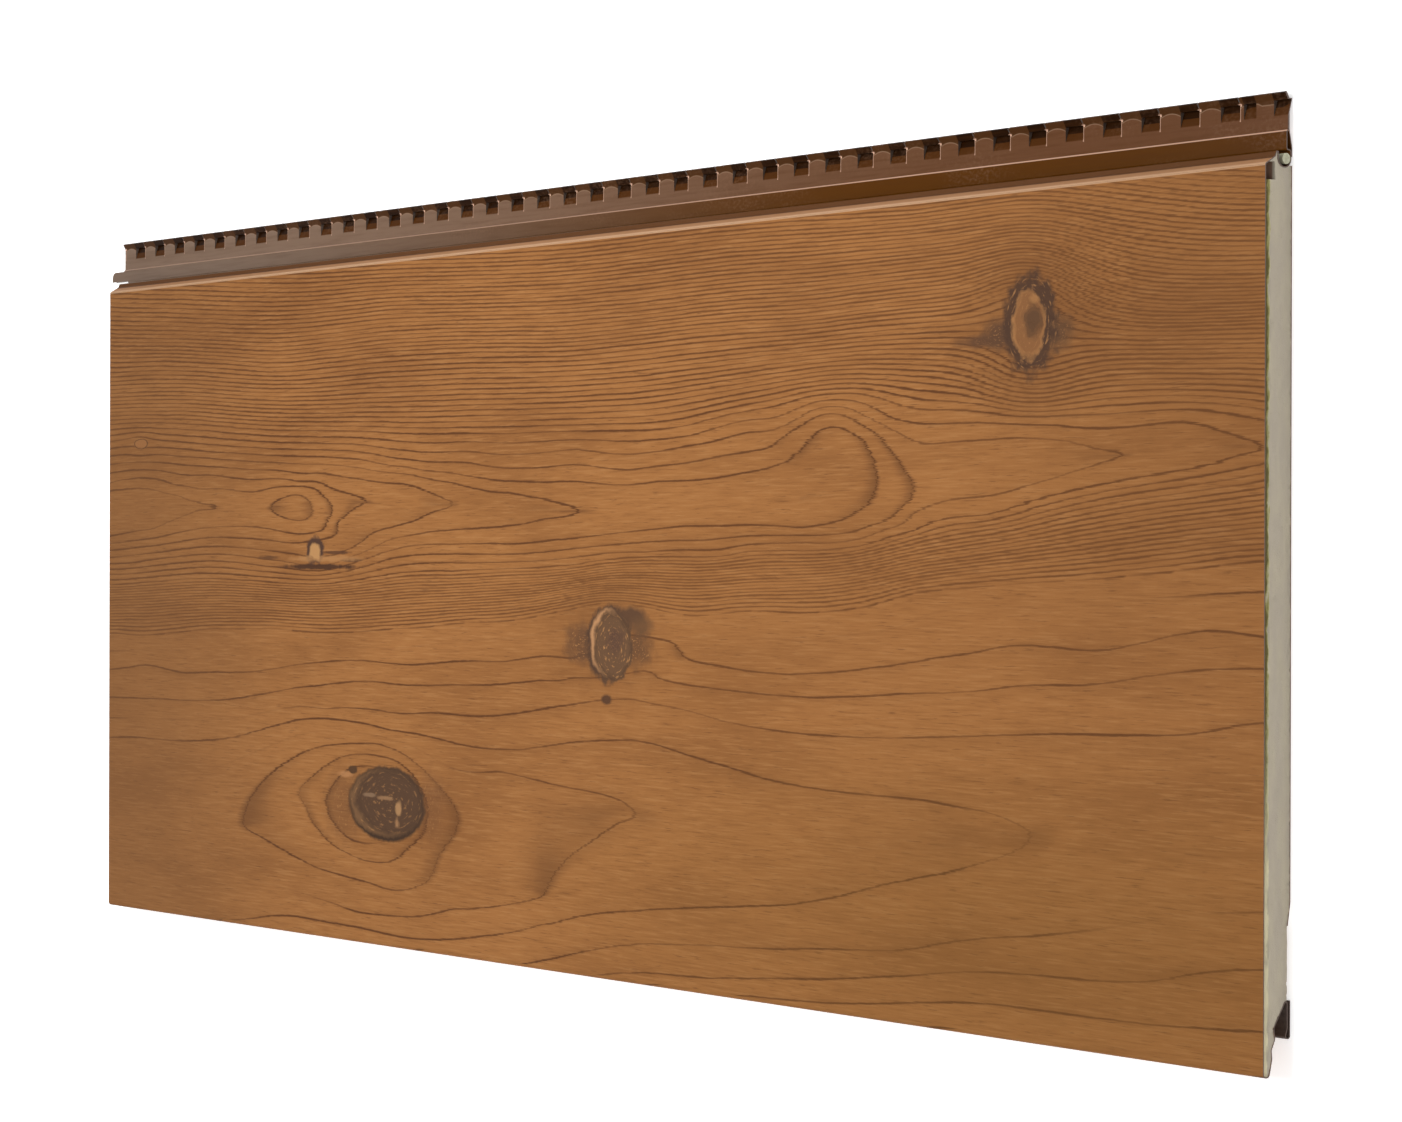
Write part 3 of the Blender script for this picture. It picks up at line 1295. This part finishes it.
@dataclass
class SteelSkin:
    """The rolled steel skin: printed face, lacquered strip and flange, primed hook.

    Attributes:
        face_level: The printed face's height in metres.
        print_top: Where the print ends on the shoulder, in metres from the middle.
        print_bottom: Where the print ends under the front lip.
        lip_level: The lowest height that the print reaches on the lip.
        turned_level: The height under which the print keeps to surfaces that look up or down.
        hook_top: The top of the hook, in metres from the middle.
        hook_level: The height of the hook.
        cell: The print mesh's cell in metres.
    """

    face_level: float = 0.016
    print_top: float = 0.1958
    print_bottom: float = -0.1920
    lip_level: float = 0.0087
    turned_level: float = 0.0156
    hook_top: float = -0.15
    hook_level: float = 0.0085
    cell: float = 0.0023

    def build(self, node: bpy.types.Object, finishes: Finishes) -> bpy.types.Object:
        """Builds and dresses the skin.

        Args:
            node: The CAD node of the skin.
            finishes: Print, lacquer and primer.

        Returns:
            The piece.
        """
        mesh = merged_copy(node, "steel_skin")
        face = max((f for f in mesh.faces if self.is_front(f)), key=lambda f: f.calc_area())
        low, high = self.corners(face)
        bmesh.ops.delete(mesh, geom=[f for f in mesh.faces if self.is_front(f)], context="FACES_ONLY")
        loose = [e for e in mesh.edges if not e.link_faces]
        bmesh.ops.delete(mesh, geom=loose, context="EDGES")
        self.fill_face(mesh, low, high)
        self.mark_zones(mesh)
        piece = piece_from(mesh, "steel_skin", finishes)
        self.add_grain(piece, high[1] / MM)
        settle(piece, Slot.STEEL, "face_sheet")
        return piece

    def in_plane(self, point: Vector) -> bool:
        """Whether a point lies at the printed face's height."""
        return abs(point.z - self.face_level) < 1e-5

    def is_front(self, face: bmesh.types.BMFace) -> bool:
        """Whether a face lies in the printed plane."""
        return face.normal.z > 0.99 and all(self.in_plane(v.co) for v in face.verts)

    @staticmethod
    def corners(face: bmesh.types.BMFace) -> tuple[Point, Point]:
        """The lowest and highest corner of a face in plan."""
        across = [v.co.x for v in face.verts]
        up = [v.co.y for v in face.verts]
        return (min(across), min(up)), (max(across), max(up))

    def fill_face(self, mesh: bmesh.types.BMesh, low: Point, high: Point) -> None:
        """Fills the printed plane with small cells joined to the shell round it.

        Args:
            mesh: The shell with the plane's face taken out.
            low: The plane's lowest corner.
            high: Its highest corner.
        """
        columns = round((high[0] - low[0]) / self.cell)
        rows = round((high[1] - low[1]) / self.cell)
        open_edges = [e for e in mesh.edges if len(e.link_faces) == 1]
        for edge in open_edges:
            first, second = (v.co for v in edge.verts)
            if self.in_plane(first) and self.in_plane(second):
                cuts = columns if abs(first.x - second.x) > abs(first.y - second.y) else rows
                bmesh.ops.subdivide_edges(mesh, edges=[edge], cuts=cuts - 1)
        lines = []
        for row in range(rows + 1):
            up = low[1] + (high[1] - low[1]) * row / rows
            across = [low[0] + (high[0] - low[0]) * i / columns for i in range(columns + 1)]
            lines.append([mesh.verts.new((x, up, self.face_level)) for x in across])
        for below, above in zip(lines, lines[1:]):
            for i in range(columns):
                mesh.faces.new((below[i], below[i + 1], above[i + 1], above[i]))
        bmesh.ops.remove_doubles(mesh, verts=mesh.verts, dist=2e-5)
        mesh.normal_update()

    def mark_zones(self, mesh: bmesh.types.BMesh) -> None:
        """Gives each face of the skin its finish.

        Args:
            mesh: The skin.
        """
        for face in mesh.faces:
            middle = face.calc_center_median()
            printed = self.print_bottom < middle.y < self.print_top and middle.z > self.lip_level
            outside = middle.z > self.turned_level or abs(face.normal.y) > 0.1
            hooked = middle.y < self.hook_top and middle.z < self.hook_level
            if abs(face.normal.x) > 0.9 or hooked:
                zone = Zone.PRIMER
            elif printed and outside:
                zone = Zone.PRINT
            else:
                zone = Zone.LACQUER
            face.material_index = zone.value

    @staticmethod
    def add_grain(piece: bpy.types.Object, top_edge: float) -> None:
        """Stores the ring attributes on the skin.

        Args:
            piece: The skin.
            top_edge: The face's top edge in millimetres from the middle.
        """
        grain = GrainMap((*UPPER_GUIDES, *LOWER_GUIDES), top_edge)
        points = np.empty(len(piece.data.vertices) * 3)
        piece.data.vertices.foreach_get("co", points)
        for name, values in grain.attributes(points.reshape(-1, 3)).items():
            layer = piece.data.attributes.new(name, "FLOAT", "POINT")
            layer.data.foreach_set("value", values.astype(np.float32))


@dataclass
class FoamCore:
    """The foam body with sawn, torn ends.

    Attributes:
        cell: The cut ends' mesh cell in metres.
        groove: How far the foam is scorched back behind the face, in metres.
        pit: The depth of the pores in metres.
        seed: Moves the random pattern.
    """

    cell: float = 0.0012
    groove: float = 0.0012
    pit: float = 0.0005
    seed: float = 4.0

    def build(self, node: bpy.types.Object, finish: bpy.types.Material) -> bpy.types.Object:
        """Builds and dresses the foam.

        Args:
            node: The CAD node of the foam.
            finish: Its material.

        Returns:
            The piece.
        """
        mesh = merged_copy(node, "foam_body")
        low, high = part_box(node.name)
        for axis, normal in ((1, (0, 1, 0)), (2, (0, 0, 1))):
            count = round((high[axis] - low[axis]) / self.cell)
            for step in range(1, count):
                middle = [0.0, 0.0, 0.0]
                middle[axis] = low[axis] + (high[axis] - low[axis]) * step / count
                whole = [*mesh.verts, *mesh.edges, *mesh.faces]
                bmesh.ops.bisect_plane(mesh, geom=whole, dist=1e-6, plane_co=middle, plane_no=normal)
        blank = piece_from(mesh, "foam_blank", [finish])
        values = {
            "Reach": high[0],
            "Groove depth": self.groove,
            "Pit depth": self.pit,
            "Seed": self.seed,
            "Finish": finish,
        }
        piece = grown(blank, "foam_body", self.tree(), values)
        settle(piece, Slot.FOAM, "foam_core")
        return piece

    @staticmethod
    def tree() -> bpy.types.NodeTree:
        """Lays out the geometry nodes that press pores and the scorched groove into the ends.

        Returns:
            The geometry group.
        """
        inputs = {
            "Geometry": ("Geometry",),
            "Float": ("Reach", "Groove depth", "Pit depth", "Seed"),
            "Material": ("Finish",),
        }
        board = Group("Torn foam ends", inputs, {"Geometry": ("Geometry",)}, "GeometryNodeTree")
        given = board.given
        pit = given["Pit depth"]
        position = board.node("GeometryNodeInputPosition").outputs[0]
        along, _, out = board.split(position)
        near = board.minus(given["Reach"], 0.00001)
        at_end = board.math("GREATER_THAN", board.math("ABSOLUTE", along), near)
        broad = board.seeded_noise(position, 160.0, 3.0)
        fine = board.seeded_noise(position, 600.0, 1.0)
        edge = board.scaled(broad, 0.0024, out)
        groove = board.times(board.ramp(edge, 0.0150, 0.0160), given["Groove depth"])
        pits = board.times(board.ramp(fine, 0.55, 0.75), pit)
        swell = board.times(board.ramp(broad, 0.3, 0.7), board.times(pit, 0.6))
        depth = board.times(board.math("ADD", board.math("ADD", groove, pits), swell), at_end)
        inward = board.times(board.times(depth, board.math("SIGN", along)), -1.0)
        offset = board.node("ShaderNodeCombineXYZ", {0: inward}).outputs[0]
        moved = board.node("GeometryNodeSetPosition", {"Geometry": given["Geometry"], "Offset": offset})
        return board.close(Geometry=board.dressed(moved.outputs[0]))


@dataclass
class SealBead:
    """The foam bead that lies in the channel of the tongue.

    Attributes:
        sides: Faces round the bead.
        step: The distance between its rings in metres.
        slack: How much thinner it is in places, in metres.
        seed: Moves the random pattern.
    """

    sides: int = 20
    step: float = 0.004
    slack: float = 0.00018
    seed: float = 2.0

    def build(self, node: bpy.types.Object, finish: bpy.types.Material) -> bpy.types.Object:
        """Sweeps the bead along the channel.

        Args:
            node: The CAD node of the bead.
            finish: Its material.

        Returns:
            The piece.
        """
        low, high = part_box(node.name)
        middle = [(a + b) / 2 for a, b in zip(low, high)]
        values = {
            "Start": (low[0], middle[1], middle[2]),
            "End": (high[0], middle[1], middle[2]),
            "Radius": (high[1] - low[1]) / 2,
            "Slack": self.slack,
            "Rings": round((high[0] - low[0]) / self.step),
            "Sides": self.sides,
            "Seed": self.seed,
            "Finish": finish,
        }
        blank = placed("bead_blank", bpy.data.meshes.new("bead_blank"))
        piece = grown(blank, "sealing_bead", self.tree(), values)
        settle(piece, Slot.BEAD, "seal_bead")
        return piece

    @staticmethod
    def tree() -> bpy.types.NodeTree:
        """Lays out the geometry nodes that sweep the bead.

        Returns:
            The geometry group.
        """
        inputs = {
            "Vector": ("Start", "End"),
            "Float": ("Radius", "Slack", "Seed"),
            "Int": ("Rings", "Sides"),
            "Material": ("Finish",),
        }
        board = Group("Bead along a channel", inputs, {"Geometry": ("Geometry",)}, "GeometryNodeTree")
        given = board.given
        line = board.node("GeometryNodeCurvePrimitiveLine", {"Start": given["Start"], "End": given["End"]})
        rings = board.node("GeometryNodeResampleCurve", {"Curve": line.outputs[0], "Count": given["Rings"]})
        outline = {"Resolution": given["Sides"], "Radius": given["Radius"]}
        profile = board.node("GeometryNodeCurvePrimitiveCircle", outline)
        sweep = {"Curve": rings.outputs[0], "Profile Curve": profile.outputs[0], "Fill Caps": True}
        swept = board.node("GeometryNodeCurveToMesh", sweep)
        position = board.node("GeometryNodeInputPosition").outputs[0]
        shrink = board.times(board.times(board.seeded_noise(position, 90.0, 2.0), given["Slack"]), -1.0)
        normal = board.node("GeometryNodeInputNormal").outputs[0]
        radial = board.vector("MULTIPLY", {0: normal, 1: (0.0, 1.0, 1.0)})
        offset = board.vector("SCALE", {0: radial, 3: shrink})
        moved = board.node("GeometryNodeSetPosition", {"Geometry": swept.outputs[0], "Offset": offset})
        smooth = board.node("GeometryNodeSetShadeSmooth", {0: moved.outputs[0]})
        return board.close(Geometry=board.dressed(smooth.outputs[0]))


def dress_facing(node: bpy.types.Object, finish: bpy.types.Material) -> None:
    """Puts the finish on the facing on the back of the foam, which keeps its CAD shape.

    Args:
        node: The CAD node of the facing.
        finish: Its material.
    """
    if not node.material_slots:
        node.data.materials.append(finish)
    for place in node.material_slots:
        place.material = finish
    LOG.info("%s is dressed", node.name)


@dataclass(frozen=True)
class Lamp:
    """A soft square light.

    Attributes:
        name: The light's name.
        place: Where it stands.
        target: Where it points.
        size: Its side in metres.
        power: Its power in watts.
    """

    name: str
    place: tuple[float, float, float]
    target: tuple[float, float, float]
    size: float
    power: float

    def hang(self) -> None:
        """Adds the light to the scene."""
        data = bpy.data.lights.new(self.name, "AREA")
        data.size = self.size
        data.energy = self.power
        made = placed(self.name, data)
        made.location = self.place
        made.rotation_euler = (Vector(self.target) - Vector(self.place)).to_track_quat("-Z", "Y").to_euler()


@dataclass
class Studio:
    """Pale floor, soft lights and the photograph's camera.

    Attributes:
        eye: The camera's place in metres.
        turn: How far it looks along the panel from straight down, in degrees.
        roll: Its roll in degrees.
        lens: Its focal length in millimetres.
        sensor: The width of its sensor in millimetres.
        floor_level: The floor's height in metres.
        floor_size: Half the floor's side in metres.
        air: The strength of the even light all round.
        lamps: The lights.
    """

    eye: tuple[float, float, float] = (1.6360, 0.0242, 1.1739)
    turn: float = 52.79
    roll: float = 0.14
    lens: float = 98.7
    sensor: float = 36.0
    floor_level: float = -0.0003
    floor_size: float = 12.0
    air: float = 0.42
    lamps: tuple[Lamp, ...] = (
        Lamp("overhead", (0.02, 0.3, 1.1), (0.02, 0.1, 0.0), 0.9, 12.0),
        Lamp("low_left", (-2.8, -0.3, 1.0), (0.0, 0.0, 0.0), 1.4, 5.0),
        Lamp("camera_side", (2.4, -1.2, 1.4), (0.3, 0.0, 0.0), 1.4, 13.0),
    )

    def build(self, floor_finish: bpy.types.Material) -> None:
        """Builds the floor, the lights and the camera.

        Args:
            floor_finish: The floor's material.
        """
        mesh = bmesh.new()
        bmesh.ops.create_grid(mesh, x_segments=1, y_segments=1, size=self.floor_size)
        bmesh.ops.translate(mesh, verts=mesh.verts, vec=(0.0, 0.0, self.floor_level))
        piece_from(mesh, "studio_floor", [floor_finish])
        for lamp in self.lamps:
            lamp.hang()
        self.set_world()
        self.set_camera()

    def set_world(self) -> None:
        """Fills the scene with even white light."""
        world = bpy.data.worlds.new("studio_air")
        world.use_nodes = True
        backdrop = world.node_tree.nodes["Background"]
        backdrop.inputs["Color"].default_value = (1.0, 1.0, 1.0, 1.0)
        backdrop.inputs["Strength"].default_value = self.air
        bpy.context.scene.world = world
        bpy.context.scene.view_settings.view_transform = "Standard"

    def set_camera(self) -> None:
        """Sets the camera at the photograph's angle."""
        turn = math.radians(self.turn)
        roll = math.radians(self.roll)
        right = Vector((math.cos(turn), 0.0, -math.sin(turn)))
        down = Vector((0.0, -1.0, 0.0))
        back = Vector((math.sin(turn), 0.0, math.cos(turn)))
        rolled_right = right * math.cos(roll) - down * math.sin(roll)
        rolled_up = -(right * math.sin(roll) + down * math.cos(roll))
        lens = bpy.data.cameras.new("photo_view")
        lens.sensor_fit = "HORIZONTAL"
        lens.sensor_width = self.sensor
        lens.lens = self.lens
        lens.clip_end = 50.0
        made = placed("photo_view", lens)
        turned = Matrix((rolled_right, rolled_up, back)).transposed().to_4x4()
        made.matrix_world = Matrix.Translation(Vector(self.eye)) @ turned
        bpy.context.scene.camera = made


def main() -> None:
    """Builds the pieces in order."""
    logging.basicConfig(level=logging.INFO)
    nodes = frame["nodes"]
    effects = Effects()
    skin = (PrintedWood().make(effects), BrownLacquer().make(effects), Primer().make(effects))
    SteelSkin().build(nodes["face_sheet"], skin)
    FoamCore().build(nodes["foam_core"], RigidFoam().make(effects))
    SealBead().build(nodes["seal_bead"], SealRope().make(effects))
    dress_facing(nodes["backing_sheet"], BackFacing().make(effects))
    Studio().build(PaleFloor().make(effects))


if __name__ == "__main__":
    main()
